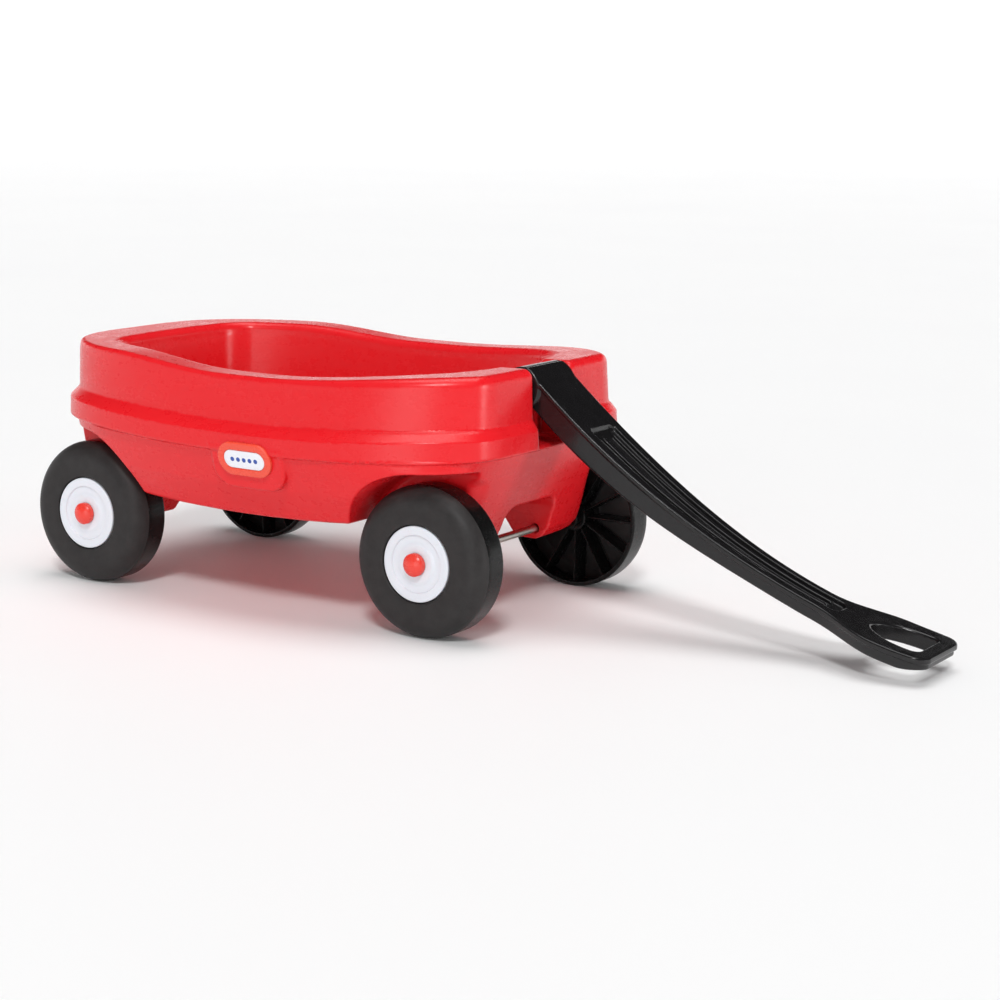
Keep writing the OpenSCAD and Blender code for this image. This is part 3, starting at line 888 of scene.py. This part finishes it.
for x, end in ((AXLE_F, "front"), (AXLE_R, "rear")):
    for side, hand in ((1, "left"), (-1, "right")):
        where = f"{end}_{hand}"
        roller = f"roller_{where}"
        parts = [turned(tyre_profile(), TYRE_TURN, True)]
        for i in range(RIB_COUNT):
            angle = 2 * math.pi * i / RIB_COUNT
            parts.append(wheel_rib(RIB_HUB_R, WHEEL_R - 4, -34, -12.5, angle, 1.0))
            parts.append(wheel_rib(RIB_HUB_R, WHEEL_R - SHOULDER, -14, -9, angle, 0.3))
        v, f = join_parts(parts)
        # the tread and everything behind the shoulder are glossy, and darker in colour as painted
        # shade
        middle = np.array([np.mean([v[i] for i in face], axis=0) for face in f])
        radius = np.hypot(middle[:, 0], middle[:, 1])
        glossy = (middle[:, 2] < -SHOULDER) | (radius > WHEEL_R - 0.2)
        tyre = new_piece(f"tyre_{where}", wheel_place(v, x, side), f, [black_wheel, glossy_black_painted_shade],
                         roller, [f"wheel_{where}"], paint=glossy)
        v, f = join_parts([turned(disc_profile(), DISC_TURN, True)])
        disc = new_piece(f"disc_{where}", wheel_place(v, x, side), f, [white_disc], roller,
                         [f"hub_disc_{where}"])
        v, f = join_parts([turned(cap_profile(), CAP_TURN, False)])
        cap = new_piece(f"cap_{where}", wheel_place(v, x, side), f, [orange_cap], "wagon",
                        [f"axle_cap_{where}"])
        for piece in (tyre, disc, cap):
            piece.data.set_sharp_from_angle(angle=math.radians(38))


# ---------------------------------------------------------------- badges
BADGE_L = 64
BADGE_H = 33.5
END_POINTS = 24
DOT_COUNT = 5
DOT_PITCH = 7
DOT_R = 2.3


def stadium(inset):
    """Points round a slot shape, each side moved in by inset."""
    r = BADGE_H / 2 - inset
    c = (BADGE_L - BADGE_H) / 2
    a = np.radians(np.linspace(-90, 90, END_POINTS))
    right = [(c + r * math.cos(t), r * math.sin(t)) for t in a]
    left = [(-px, -py) for px, py in right]
    return right + left


def stadium_solid(levels):
    """A closed solid from (inset, height) levels, bottom first."""
    verts, faces = [], []
    m = len(stadium(0))
    for inset, height in levels:
        verts += [(px, py, height) for px, py in stadium(inset)]
    for k in range(len(levels) - 1):
        for i in range(m):
            j = (i + 1) % m
            faces.append([k * m + i, k * m + j, (k + 1) * m + j, (k + 1) * m + i])
    last = (len(levels) - 1) * m
    faces.append(list(range(m))[::-1])
    faces.append([last + i for i in range(m)])
    return verts, faces


def pad_place(verts, side):
    """From the badge pad's own axes to its place in the frame."""
    v = np.array(verts, float)
    c, s = math.cos(PAD_TILT), math.sin(PAD_TILT)
    out = -PAD_Y + v[:, 1] * c - v[:, 2] * s
    up = BADGE_Z + v[:, 1] * s + v[:, 2] * c
    way = -side
    return np.stack([PAD_X + way * v[:, 0], way * out, up], -1)


def dot(cx, low, high):
    """A flat round spot on the label's long axis, with a bevelled edge."""
    r = DOT_R
    profile = [(0, low), (r, low), (r, high - 0.1), (r - 0.1, high), (0, high)]
    verts, faces = turned(profile, END_POINTS, False)
    return verts + np.array([cx, 0, 0]), faces


# Each level: how far in from the badge's outline, and its height above the pad
RING_LEVELS = [
    (0.3, -0.5), (0, -0.2), (0, 2.5), (0.25, 3.0), (0.7, 3.35), (1.3, 3.5),
    (6.3, 3.5), (6.9, 3.35), (7.3, 3.0), (7.5, 2.5), (7.5, 2.0), (8.0, 1.9),
]
LABEL_LEVELS = [(7.9, 1.8), (7.75, 1.95), (7.75, 2.7), (7.9, 2.95), (8.3, 3.1), (12, 3.18)]
for side, hand in ((1, "left"), (-1, "right")):
    v, f = stadium_solid(RING_LEVELS)
    ring = new_piece(f"badge_frame_{hand}", pad_place(v, side), f, [orange_trim], "wagon",
                     [f"badge_ring_{hand}"])
    v, f = stadium_solid(LABEL_LEVELS)
    paint = [0] * len(f)
    parts = [(v, f)]
    for k in range(DOT_COUNT):
        spot = dot((k - (DOT_COUNT - 1) / 2) * DOT_PITCH, 3.0, 3.35)
        parts.append(spot)
        paint += [1] * len(spot[1])
    v, f = join_parts(parts)
    label = new_piece(f"badge_plate_{hand}", pad_place(v, side), f, [white_label, blue_print],
                      "wagon", [f"badge_label_{hand}"], paint=paint)
    for piece in (ring, label):
        piece.data.set_sharp_from_angle(angle=math.radians(50))


# ---------------------------------------------------------------- CAD nodes that stay
for name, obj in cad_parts.items():
    if name.endswith("_axle") or name.startswith("push_nut"):
        obj.data.materials.clear()
        obj.data.materials.append(steel)


# ---------------------------------------------------------------- stage
FLOOR_R = 16.0
BEND_R = 3.0
WALL_TOP = 4.5
AROUND = 96
WORLD_STRENGTH = 0.28


def floor_material():
    mat, nodes, links, shader = base_material("pale_floor")
    coords = nodes.new("ShaderNodeTexCoord").outputs["Object"]
    cloud = noise(nodes, links, coords, 1.5, 3, 0.5)
    shade = spread(nodes, links, cloud, 0, 0.5)
    tint = mix(nodes, links, shade, (0.93, 0.93, 0.93), (0.91, 0.91, 0.915))
    links.new(tint, shader.inputs["Base Color"])
    shader.inputs["Roughness"].default_value = 0.6
    shader.inputs["Specular IOR Level"].default_value = 0.2
    return mat


def make_backdrop():
    """A round studio floor that curves up into a low wall, far from the object."""
    rings = [(FLOOR_R * k / 4, 0.0) for k in range(1, 5)]
    rings += [(FLOOR_R + BEND_R * math.sin(a), BEND_R - BEND_R * math.cos(a))
              for a in np.radians(range(6, 91, 6))]
    rings.append((FLOOR_R + BEND_R, WALL_TOP))
    turns = np.arange(AROUND) * 2 * math.pi / AROUND
    verts = [(0.0, 0.0, 0.0)]
    for radius, height in rings:
        verts += [(radius * math.cos(t), radius * math.sin(t), height) for t in turns]
    faces = [(0, 1 + i, 1 + (i + 1) % AROUND) for i in range(AROUND)]
    for k in range(len(rings) - 1):
        a, b = 1 + k * AROUND, 1 + (k + 1) * AROUND
        for i in range(AROUND):
            j = (i + 1) % AROUND
            faces.append((a + i, b + i, b + j, a + j))
    mesh = bpy.data.meshes.new("studio_floor")
    mesh.from_pydata(verts, [], faces)
    mesh.polygons.foreach_set("use_smooth", np.ones(len(mesh.polygons), bool))
    mesh.materials.append(floor_material())
    obj = bpy.data.objects.new("studio_floor", mesh)
    bpy.context.scene.collection.objects.link(obj)
    obj.visible_shadow = False  # the low lights shine in over it


def soft_sun(name, toward, strength, softness):
    """An even light from a direction, as wide as softness in degrees."""
    data = bpy.data.lights.new(name, "SUN")
    data.energy = strength
    data.angle = math.radians(softness)
    obj = bpy.data.objects.new(name, data)
    obj.rotation_mode = "QUATERNION"
    obj.rotation_quaternion = Vector(toward).to_track_quat("Z", "Y")
    bpy.context.scene.collection.objects.link(obj)


make_backdrop()
soft_sun("key", (0.40, -0.70, 0.85), 1.35, 12)
soft_sun("low", (0.25, -0.95, 0.12), 0.6, 30)
soft_sun("front", (0.98, 0.17, 0.08), 0.6, 10)
soft_sun("top", (0.0, 0.10, 1.0), 1.35, 40)
world = bpy.data.worlds.new("studio")
bpy.context.scene.world = world
world.use_nodes = True
background = world.node_tree.nodes["Background"]
background.inputs["Color"].default_value = (1, 1, 1, 1)
background.inputs["Strength"].default_value = WORLD_STRENGTH
world.cycles_visibility.glossy = False
bpy.context.scene.view_settings.view_transform = "Standard"


# ---------------------------------------------------------------- camera
AZIMUTH = math.radians(32.44)
ELEVATION = math.radians(10.90)
ROLL = math.radians(0.86)
TARGET = Vector((0.0053, 0.0, 0.1088))
DISTANCE = 2.3123
SENSOR = 36
LENS = 83.65


def make_camera():
    """Looks at TARGET from an azimuth and an elevation, rolled a little."""
    data = bpy.data.cameras.new("camera")
    data.sensor_width = SENSOR
    data.lens = LENS
    data.clip_start, data.clip_end = 0.05, 60
    obj = bpy.data.objects.new("camera", data)
    bpy.context.scene.collection.objects.link(obj)
    a, e = AZIMUTH, ELEVATION
    back = Vector((math.sin(a) * math.cos(e), -math.cos(a) * math.cos(e), math.sin(e)))
    right = Vector((math.cos(a), math.sin(a), 0))
    up = back.cross(right)
    side = right * math.cos(ROLL) + up * math.sin(ROLL)
    over = -right * math.sin(ROLL) + up * math.cos(ROLL)
    turn = Matrix((side, over, back)).transposed().to_4x4()
    obj.matrix_world = Matrix.Translation(TARGET + back * DISTANCE) @ turn
    bpy.context.scene.camera = obj


make_camera()
